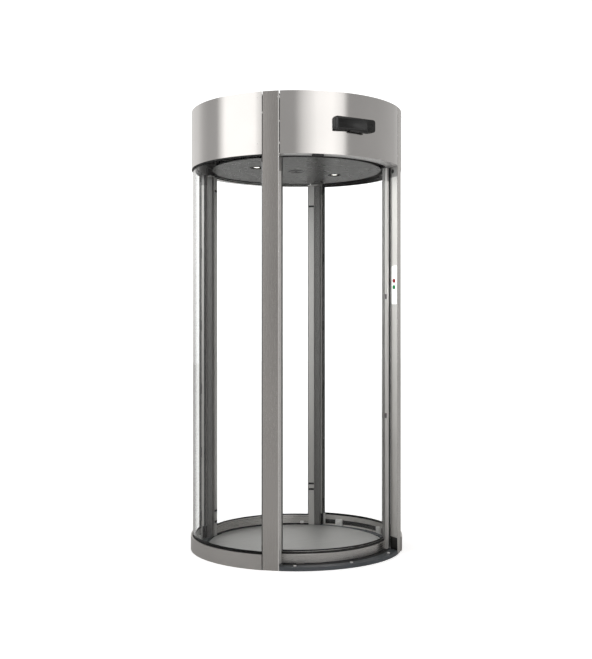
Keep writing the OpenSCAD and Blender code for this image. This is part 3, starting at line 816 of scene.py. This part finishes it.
black_plastic = moulded("black_plastic")
lens_finish, tree, shader = material("lens", (0.95, 0.95, 0.92), 0.0, 0.3)
glow(shader, (1.0, 0.97, 0.9), LENS_GLOW)
vary_roughness(tree, shader, noise(tree, 300), 0.08)
sides = [Matrix.Translation((x * LIGHT_X, 0, 0)) for x in (-1, 1)]
light = repeated(downlight("light"), "downlight_housings", sides)
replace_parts(fitted(light, "frame", black_plastic), "downlights")
lens_z = light_low.z + BAFFLE_H + LENS_UP
lens = dome("lens", LENS_R, (1, 1, LENS_DOME), (0, 0, lens_z), 48, 16)
lens = repeated(lens, "downlight_lens", sides)
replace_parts(fitted(lens, "frame", lens_finish), "downlight_lenses")

# ------------------------------------------------------------ ceiling sensor
# A round presence sensor in the middle of the ceiling: a flat grey ring, a
# shallow dish and a small dome that looks down.

# Steps into its underside: inset, height
SENSOR_RINGS = ((8 * MM, 1.0 * MM), (14 * MM, 1.2 * MM))
SENSOR_FLANGE = 3 * MM
SENSOR_DOME_R = 11 * MM
SENSOR_DOME_FLAT = 0.55
SENSOR_DOME_UP = 2.2 * MM

sensor_low, sensor_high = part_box("ceiling_sensor")
depth = ceiling_z - sensor_low.z
sensor = disc("presence_sensor", sensor_high.x, depth, (0, 0, sensor_low.z + depth / 2))
edit_faces(sensor, lambda face: face.normal.z > 0.9)
bpy.ops.mesh.inset(thickness=SENSOR_FLANGE)
push((0, 0, sensor_high.z - ceiling_z))
leave_edit()
edit_faces(sensor, lambda face: face.normal.z < -0.9)
for inwards, step in SENSOR_RINGS:
    bpy.ops.mesh.inset(thickness=inwards)
    push((0, 0, step))
leave_edit()
round_edges(sensor, 0.5 * MM)
eye = dome(
    "eye", SENSOR_DOME_R, (1, 1, SENSOR_DOME_FLAT), (0, 0, ceiling_z + SENSOR_DOME_UP), 32, 16
)
sensor = joined([sensor, eye], "presence_sensor")
sensor_grey = moulded("sensor_grey", (0.09, 0.09, 0.09), 0.35)
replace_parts(fitted(sensor, "frame", sensor_grey), "ceiling_sensor")

# ------------------------------------------------------------ motion sensors
# Black radar sensors over the doorways: a rounded back plate curved to the
# skin, a hood on it with a visor under its right half, and a round cap at one
# end. All are moulded plastic.

PLATE_DEPTH = 12 * MM
HOOD_SIZE = (192 * MM, 18 * MM, 63 * MM)
HOOD_X = -27 * MM
HOOD_DROP = 4.5 * MM
HOOD_TILT = -0.8
HOOD_ROUNDING = 5 * MM
HOOD_FRAME = 4 * MM
HOOD_DISH = 1.2 * MM
VISOR_SIZE = (105 * MM, 15 * MM, 10 * MM)
VISOR_IN = 1 * MM
VISOR_UP = 2 * MM
VISOR_TILT = 2
CAP_R = 20 * MM
CAP_T = 6 * MM
CAP_X = 94 * MM
CAP_DROP = 6 * MM
# Steps into the cap's face: inset, depth
CAP_STEPS = ((5 * MM, 2.5 * MM), (5 * MM, -1.5 * MM))

motion_low, motion_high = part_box("motion_sensor_front")
motion_z = (motion_low.z + motion_high.z) / 2
plate_y = -plate_r - PLATE_DEPTH

back_plate = merged_copy("motion_sensor_front", "motion_plate")
edit_faces(back_plate, lambda face: True)
bpy.ops.mesh.bisect(
    plane_co=(0, plate_y, 0), plane_no=(0, -1, 0), use_fill=True, clear_outer=True
)
leave_edit()
round_edges(back_plate, 1.5 * MM, 2, 40)

hood = rounded_block("hood", HOOD_SIZE, (0, 0, 0), HOOD_ROUNDING, 3)
edit_faces(hood, lambda face: face.normal.y < -0.99)
bpy.ops.mesh.inset(thickness=HOOD_FRAME)
push((0, HOOD_DISH, 0))
leave_edit()
visor_x = (HOOD_SIZE[0] - VISOR_SIZE[0]) / 2 - VISOR_IN
visor_z = VISOR_UP - (HOOD_SIZE[2] + VISOR_SIZE[2]) / 2
visor = rounded_block("visor", VISOR_SIZE, (0, 0, 0), 1.5 * MM)
visor.data.transform(
    Matrix.Translation((visor_x, VISOR_IN, visor_z))
    @ Matrix.Rotation(radians(VISOR_TILT), 4, "Y")
)
hood = joined([hood, visor], "hood")
hood.data.transform(
    Matrix.Translation((HOOD_X, motion_low.y + HOOD_SIZE[1] / 2, motion_z - HOOD_DROP))
    @ Matrix.Rotation(radians(HOOD_TILT), 4, "Y")
)

cap_centre = (CAP_X, plate_y, motion_z - CAP_DROP)
cap = disc("cap", CAP_R, CAP_T, cap_centre, 40, (radians(90), 0, 0))
edit_faces(cap, lambda face: face.normal.y < -0.9)
for inwards, step in CAP_STEPS:
    bpy.ops.mesh.inset(thickness=inwards)
    push((0, step, 0))
leave_edit()
round_edges(cap, 0.8 * MM)

sensor_black = moulded("sensor_black", (0.014, 0.014, 0.014), 0.5)
motion = joined([back_plate, hood, cap], "motion_radar_front")
motion_back = placed(motion, "motion_radar_back", Matrix.Rotation(pi, 4, "Z"))
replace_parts(fitted(motion, "frame", sensor_black), "motion_sensor_front")
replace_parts(fitted(motion_back, "frame", sensor_black), "motion_sensor_back")

# ------------------------------------------------------------ soffit sensor
# A small black sensor under the front soffit, with rounded edges and a narrow
# window along its underside.

WINDOW_FRAME = 5 * MM
WINDOW_DEPTH = 1.2 * MM

low_sensor = merged_copy("soffit_sensor", "soffit_eye")
round_edges(low_sensor, 2 * MM, 3)
edit_faces(low_sensor, lambda face: face.normal.z < -0.99)
bpy.ops.mesh.inset(thickness=WINDOW_FRAME)
push((0, 0, WINDOW_DEPTH))
leave_edit()
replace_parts(fitted(low_sensor, "frame", sensor_black), "soffit_sensor")

# ------------------------------------------------------------ control panel
# A white plate with rounded corners on the front right post, screwed on, with
# a red lamp over a green one, each a dome in a rim of its colour. The rest is
# bare. The plate glows faintly: painted light that makes it look lit.

PANEL_CORNER = 7 * MM
PANEL_PAINTED_GLOW = 0.2
RIM_W = 0.8 * MM
# Shares of a lamp's depth: the rim's, the rim's lip and the dome's
RIM_DEPTH = 0.4
RIM_LIP = 0.15
LAMP_DOME = 0.95
LAMP_GLOW = 0.08

panel_low, panel_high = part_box("control_panel")
panel_size = panel_high - panel_low
panel_centre = (panel_high + panel_low) / 2
deselect()
bpy.ops.mesh.primitive_cube_add(size=1, location=panel_centre, scale=panel_size)
panel = bpy.context.object
panel.name = "signal_panel"
bpy.ops.object.transform_apply(location=True, rotation=True, scale=True)
bpy.ops.object.mode_set(mode="EDIT")
bpy.ops.mesh.select_mode(type="EDGE")
bpy.ops.mesh.select_all(action="DESELECT")
shape = bmesh.from_edit_mesh(panel.data)
for edge in shape.edges:
    along = edge.verts[1].co - edge.verts[0].co
    edge.select_set(abs(along.x) > panel_size.x / 2)
bmesh.update_edit_mesh(panel.data)
bpy.ops.mesh.bevel(offset=PANEL_CORNER, segments=8, affect="EDGES")
leave_edit()
round_edges(panel, 0.8 * MM, 2, 40)
panel_white = moulded("panel_white", (0.93, 0.93, 0.92), 0.35)
# The plate is no lamp. Its faint glow is painted light that brightens it
glow(panel_white.node_tree.nodes["Principled BSDF"], (1, 1, 1), PANEL_PAINTED_GLOW)
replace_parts(fitted(panel, "frame", panel_white), "control_panel")


def lamp(node, name, colour):
    """Domed signal lamp in a narrow rim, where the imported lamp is."""
    low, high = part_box(node)
    middle = (low + high) / 2
    depth = high.x - low.x
    radius = (high.z - low.z) / 2
    rim_centre = (high.x - depth * RIM_DEPTH / 2, middle.y, middle.z)
    rim = disc("rim", radius, depth * RIM_DEPTH, rim_centre, 40, (0, radians(-90), 0))
    edit_faces(rim, lambda face: face.normal.x < -0.9)
    bpy.ops.mesh.inset(thickness=RIM_W)
    push((depth * RIM_LIP, 0, 0))
    leave_edit()
    round_edges(rim, 0.3 * MM)
    radius -= RIM_W
    bulb = dome(
        name, radius, (depth * LAMP_DOME / radius, 1, 1), (high.x, middle.y, middle.z)
    )
    finish, tree, shader = material(name, colour, 0.0, 0.25)
    glow(shader, colour, LAMP_GLOW)
    vary_roughness(tree, shader, noise(tree, 400), 0.06)
    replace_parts(fitted(joined([bulb, rim], name), "frame", finish), node)


lamp("indicator_red", "lamp_red", (0.2, 0.004, 0.012))
lamp("indicator_green", "lamp_green", (0.02, 0.2, 0.07))

# ------------------------------------------------------------ door glass
# Each door is one curved pane of toughened glass, clearer than the walls, in a
# slim rubber seat on its rail.

DOOR_GLASS_R = (511 * MM, 521 * MM)
DOORS = (("front_door", 0), ("back_door", 180))

door_glass = glass("door_glass", (0.99, 0.996, 0.993), (0.9, 0.92, 0.91))
for body, side in DOORS:
    pane(
        body + "_pane", body + "_glass", DOOR_GLASS_R, (side - post_a1, side + post_a1),
        body, door_glass,
    )

# ------------------------------------------------------------ door gaskets
# Black rubber lips seal the pane to its rail: a low one outside, and inside
# one that stands on a steel bead. Narrow grey lips run up its edges.

LIP_T = 2.5 * MM
LIP_W = 5 * MM
OUTER_LIP_H = 11 * MM
BEAD_H = 11 * MM
INNER_LIP_H = 8 * MM

rail_sheet = steel("rail_sheet", (0.6, 0.585, 0.57), 0.28, (0.01, 0.01, 1), 500, 0.006 * MM)
grey_rubber = rubber("grey_rubber", (0.14, 0.14, 0.14), 0.5)
rail_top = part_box("front_door_bottom_rail")[1].z
lip_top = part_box("front_door_stiles")[1].z
outer_lip = (DOOR_GLASS_R[1], DOOR_GLASS_R[1] + LIP_T)
inner_lip = (DOOR_GLASS_R[0] - LIP_T, DOOR_GLASS_R[0])
bead_top = rail_top + BEAD_H
edge_a1 = post_a1 - degrees(LIP_W / DOOR_GLASS_R[1])
lips = (
    (outer_lip, rail_top, rail_top + OUTER_LIP_H), (inner_lip, bead_top, bead_top + INNER_LIP_H)
)
for body, side in DOORS:
    along = (side - post_a1, side + post_a1)
    bead = curved_plate("bead", inner_lip, (rail_top, bead_top), along, LONG)
    finished([bead], body + "_bead", 0.5 * MM, body, rail_sheet)
    low_lips = [curved_plate("lip", radii, (z1, z2), along, LONG) for radii, z1, z2 in lips]
    low_lip = finished(low_lips, body + "_lips", 0.5 * MM, body, black_rubber)
    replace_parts(low_lip, body + "_gasket")
    edge_lips = [
        curved_plate("lip", radii, (z2, lip_top), both_ways(side, hand, (edge_a1, post_a1)), 1)
        for radii, _, z2 in lips for hand in (1, -1)
    ]
    finished(edge_lips, body + "_edge_lips", 0.4 * MM, body, grey_rubber)

# ------------------------------------------------------------ door rails
# Extruded rails under the glass, in the same ground steel as the rings, with a
# black brush low on the inner face. A lock cylinder with an oval rose sits
# over the brush.

RAIL_BRUSH_T = 1.5 * MM
RAIL_BRUSH_Z = (25.2 * MM, 34 * MM)
ROSE_SIZE = (3 * MM, 22 * MM, 15 * MM)
ROSE_Z = 40 * MM
ROSE_ANGLE = -34
ROSE_RIM = 2 * MM
ROSE_TAPER = 0.85
CYLINDER_OUT = 0.8 * MM
KEYHOLE_DEPTH = 0.6 * MM
# Gap between the floor panel and a door
FLOOR_GAP = 7 * MM

dress(rail_sheet, "front_door_bottom_rail", "back_door_bottom_rail")
door_inner_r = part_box("floor_panel")[1].x + FLOOR_GAP


def lock_rose(name):
    """Oval rose with a raised cylinder and a sunk keyway, on the inner face of a rail."""
    piece = rounded_block(name, ROSE_SIZE, (0, 0, 0), 1 * MM)
    deselect()
    edit_faces(piece, lambda face: face.normal.x < -0.9)
    bpy.ops.mesh.inset(thickness=ROSE_RIM)
    push((-CYLINDER_OUT, 0, 0), ROSE_TAPER, (-ROSE_SIZE[0] / 2, 0, 0))
    bpy.ops.mesh.inset(thickness=ROSE_RIM)
    push((KEYHOLE_DEPTH, 0, 0))
    leave_edit()
    return piece


for body, side in DOORS:
    brush = curved_plate(
        "brush", (door_inner_r - RAIL_BRUSH_T, door_inner_r), RAIL_BRUSH_Z,
        (side - post_a1, side + post_a1), LONG,
    )
    finished([brush], body + "_rail_brush", 0.4 * MM, body, brush_nylon)
    rose = lock_rose("lock")
    rose.data.transform(around(side + ROSE_ANGLE, door_inner_r - ROSE_SIZE[0] / 2, ROSE_Z))
    rose.name = body + "_lock"
    fitted(rose, body, bright_steel)

# ------------------------------------------------------------ door stiles
# Dark steel tubes stand at both ends of a door. A lighter cover is clipped on
# the inner face, with a black end piece and a black wedge past it. A light
# strip trims the side towards the doorway, its light colour a painted reflection, and a bright
# one the outer face.

STILE_DEPTH = 33 * MM
STILE_ARC = 37 * MM
COVER_T = 2 * MM
END_MARK_T = 2.5 * MM
END_MARK_H = 12 * MM
# For each hand of a doorway: a cover's foot and top, and the wedge's foot
COVER_HEIGHTS = {1: (180 * MM, 2056 * MM, 103 * MM), -1: (288 * MM, 2008 * MM, 241 * MM)}
EDGE_MARGIN = 0.1
TRIM_T = 1 * MM
TRIM_DEPTH = 16 * MM
TRIM_ARC = 36 * MM
TRIM_TOP_Z = 2070 * MM

stile_sheet = brushed("stile_sheet", (0.5, 0.49, 0.48), 0.45, 0.38)
dress(stile_sheet, "front_door_stiles", "back_door_stiles")
cover_light = brushed("stile_cover_sheet", (0.55, 0.54, 0.53), 0.5, 0.36)
# The trims' light colour is a painted reflection: the real side sits in the post's shade
trim_reflection_finish, tree, shader = material("stile_trim_painted_reflection", (0.6, 0.59, 0.575), 0.4, 0.4)
lines = noise(tree, 900, UPRIGHT_GRAIN, 2)
vary_roughness(tree, shader, lines, 0.05)
bump(tree, shader, lines, 0.02 * MM, 0.35)
face_finish = brushed("stile_face_sheet", (0.88, 0.87, 0.85), 0.15, 0.36, 0.05)

door_outer_r = door_inner_r + STILE_DEPTH
stile_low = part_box("front_door_stiles")[0]
stile_a2 = post_a1 + degrees(STILE_ARC / door_outer_r)
trim_side = degrees(TRIM_T / door_outer_r)
trim_a2 = post_a1 + degrees(TRIM_ARC / door_outer_r)


for body, side in DOORS:
    plates, marks, trims, faces = [], [], [], []
    heights = (stile_low.z, TRIM_TOP_Z)
    for hand, (low, high, wedge) in COVER_HEIGHTS.items():
        face = both_ways(side, hand, (post_a1 + EDGE_MARGIN, stile_a2 - EDGE_MARGIN))
        plates.append(curved_plate(
            "cover", (door_inner_r - COVER_T, door_inner_r), (low, high), face
        ))
        for z in (low - END_MARK_H, high, wedge):
            marks.append(curved_plate(
                "mark", (door_inner_r - END_MARK_T, door_inner_r), (z, z + END_MARK_H), face
            ))
        trims.append(curved_plate(
            "trim", (door_outer_r - TRIM_DEPTH, door_outer_r + TRIM_T), heights,
            both_ways(side, hand, (post_a1 - trim_side, post_a1)), 1,
        ))
        faces.append(curved_plate(
            "face", (door_outer_r, door_outer_r + TRIM_T), heights,
            both_ways(side, hand, (post_a1, trim_a2)), 4,
        ))
    for pieces, name, rounding, slot, finish in (
        (plates, "_stile_covers", 0.5 * MM, "stile_steel", cover_light),
        (marks, "_cover_ends", 0.8 * MM, "black_rubber", black_rubber),
        (trims, "_stile_trims_painted_reflection", 0.3 * MM, "stile_steel", trim_reflection_finish),
        (faces, "_stile_faces", 0.3 * MM, "stile_steel", face_finish),
    ):
        finished(pieces, body + name, rounding, body, finish)

# ------------------------------------------------------------ door seals
# Hollow rubber seals run up the outer sides of the stiles and close against
# the posts. A dark steel angle holds each, over its inner face and its end.

HOLDER_T = 0.8 * MM
HOLDER_R = (513.5 * MM, 541 * MM)
# Angle of a seal's outer end, from the middle of its door
SEAL_A2 = 46.44

seal_rubber = rubber("seal_rubber", (0.02, 0.02, 0.02), 0.6)
dress(seal_rubber, "front_door_seals", "back_door_seals")
holder_sheet = brushed("seal_holder_sheet", (0.16, 0.157, 0.154), 0.5, 0.38)
seal_heights = [corner.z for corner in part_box("front_door_seals")]
holder_a2 = SEAL_A2 + degrees(HOLDER_T / HOLDER_R[1])
for body, side in DOORS:
    holders = [
        curved_plate(
            "holder", radii, seal_heights, both_ways(side, hand, (angle, holder_a2)), steps
        )
        for hand in (1, -1) for radii, angle, steps in (
            ((HOLDER_R[0] - HOLDER_T, HOLDER_R[0]), stile_a2, 4), (HOLDER_R, SEAL_A2, 1)
        )
    ]
    finished(
        holders, body + "_seal_holders", 0.2 * MM, body, holder_sheet, 1
    )

# ------------------------------------------------------------ photocells
# Small dark plastic windows, pressed into the edge of the front door's right
# stile. They watch the doorway.

dress(moulded("cell_window", (0.09, 0.08, 0.085), 0.2), "front_door_photocells")

# ------------------------------------------------------------ studio
# A pale floor, a pale room and a soft panel of light. The camera stands to the
# left of the front, level, a little above the middle of the glass.

FLOOR_SIZE = 60
FLOOR_DIM = 0.62
FLOOR_GLOW = 0.55
# Light of the white paper behind the portal, for the camera alone
PAPER_LIGHT = 1.35
CAMERA_DISTANCE = 5.665
CAMERA_ANGLE = -30.2
CAMERA_Z = 1.240
CAMERA_LENS = 53.83
CAMERA_SHIFT = (-0.00076, 0.0011)
# Brightness of the room round the portal: angle from the front, light
ROOM = (
    (-180, 0.75), (-164, 0.72), (-150, 0.48), (-140, 0.40), (-124, 0.40), (-112, 1.35),
    (-74, 1.35), (-66, 0.42), (-45, 0.36), (-32, 0.36), (-24, 0.75), (-8, 1.25), (8, 1.35),
    (20, 1.05), (26, 0.34), (66, 0.38), (100, 0.46), (120, 0.62), (150, 0.78), (180, 0.75),
)
ROOM_TINT = (1, 0.985, 0.97)
# The room darkens downwards between these slopes, to a share of its light
ROOM_LOW = (-0.15, 0.08)
ROOM_LOW_SHARE = (0.45, 1.0)


def worked_out(tree, operation, first, second):
    """Result of an operation on a socket and a number, or on two sockets."""
    step = tree.nodes.new("ShaderNodeMath")
    step.operation = operation
    tree.links.new(first, step.inputs[0])
    if isinstance(second, (int, float)):
        step.inputs[1].default_value = second
    else:
        tree.links.new(second, step.inputs[1])
    return step.outputs["Value"]


def seen_straight(tree):
    """1 for what the camera sees directly or through glass, and 0 for reflections and light."""
    rays = tree.nodes.new("ShaderNodeLightPath").outputs
    bounces = worked_out(tree, "ADD", rays["Glossy Depth"], rays["Diffuse Depth"])
    unbent = worked_out(tree, "LESS_THAN", bounces, 0.5)
    through = worked_out(tree, "MULTIPLY", unbent, rays["Is Transmission Ray"])
    return worked_out(tree, "MAXIMUM", through, rays["Is Camera Ray"])


deselect()
bpy.ops.mesh.primitive_plane_add(size=FLOOR_SIZE, location=(0, 0, 0))
floor = bpy.context.object
floor.name = "studio_floor"
finish, tree, shader = material("studio_floor", (0.9, 0.9, 0.9), 0.0, 0.9)
shader.inputs["Specular IOR Level"].default_value = 0.0
glow(shader, (1, 1, 1), FLOOR_GLOW)
dim = tree.nodes.new("ShaderNodeBsdfDiffuse")
dim.inputs["Color"].default_value = (FLOOR_DIM, FLOOR_DIM, FLOOR_DIM, 1)
mixed(
    tree, seen_straight(tree), dim.outputs["BSDF"], shader.outputs["BSDF"],
    tree.nodes["Material Output"].inputs["Surface"],
)
floor.data.materials.append(finish)

world = bpy.data.worlds.new("studio")
bpy.context.scene.world = world
world.use_nodes = True
tree = world.node_tree
tree.nodes.clear()
place = tree.nodes.new("ShaderNodeTexCoord")
parts = tree.nodes.new("ShaderNodeSeparateXYZ")
tree.links.new(place.outputs["Generated"], parts.inputs["Vector"])
brightest = max(light for _, light in ROOM)
stops = [
    ((angle + 180) / 360, [light / brightest * share for share in ROOM_TINT])
    for angle, light in ROOM
]
room = tree.nodes.new("ShaderNodeBackground")
forwards = worked_out(tree, "MULTIPLY", parts.outputs["Y"], -1)
turn = worked_out(tree, "ARCTAN2", parts.outputs["X"], forwards)
ramped(tree, mapped(tree, turn, (-pi, pi)), stops, room.inputs["Color"])
lower = mapped(tree, parts.outputs["Z"], ROOM_LOW, ROOM_LOW_SHARE)
tree.links.new(worked_out(tree, "MULTIPLY", lower, brightest), room.inputs["Strength"])
paper = tree.nodes.new("ShaderNodeBackground")
paper.inputs["Color"].default_value = (1, 1, 1, 1)
paper.inputs["Strength"].default_value = PAPER_LIGHT
out = tree.nodes.new("ShaderNodeOutputWorld")
mixed(
    tree, seen_straight(tree), room.outputs["Background"], paper.outputs["Background"],
    out.inputs["Surface"],
)

# A soft panel on the left, for matt surfaces alone: no reflection shows it
SIDE_LIGHT_PLACE = (-2.15, -1.1, 2.25)
SIDE_LIGHT_SIZE = (1.2, 0.7)
SIDE_LIGHT_RADIANCE = 8.6
SIDE_LIGHT_FACING = -75
SIDE_LIGHT_SPREAD = 80

side_data = bpy.data.lights.new("side_panel", "AREA")
side_data.shape = "RECTANGLE"
side_data.size, side_data.size_y = SIDE_LIGHT_SIZE
side_data.energy = SIDE_LIGHT_RADIANCE * pi * SIDE_LIGHT_SIZE[0] * SIDE_LIGHT_SIZE[1]
side_data.spread = radians(SIDE_LIGHT_SPREAD)
side_light = bpy.data.objects.new("side_panel", side_data)
side_light.location = SIDE_LIGHT_PLACE
side_light.rotation_euler = (radians(90), 0, radians(SIDE_LIGHT_FACING))
side_light.visible_camera = False
side_light.visible_glossy = False
side_light.visible_transmission = False
bpy.context.scene.collection.objects.link(side_light)

scene = bpy.context.scene
scene.view_settings.view_transform = "Standard"

camera_data = bpy.data.cameras.new("camera")
camera_data.lens = CAMERA_LENS
camera_data.sensor_width = 36
camera_data.shift_x, camera_data.shift_y = CAMERA_SHIFT
camera = bpy.data.objects.new("camera", camera_data)
scene.collection.objects.link(camera)
camera_turn = radians(CAMERA_ANGLE)
camera.location = (
    CAMERA_DISTANCE * sin(camera_turn), -CAMERA_DISTANCE * cos(camera_turn), CAMERA_Z
)
camera.rotation_euler = (radians(90), 0, camera_turn)
scene.camera = camera
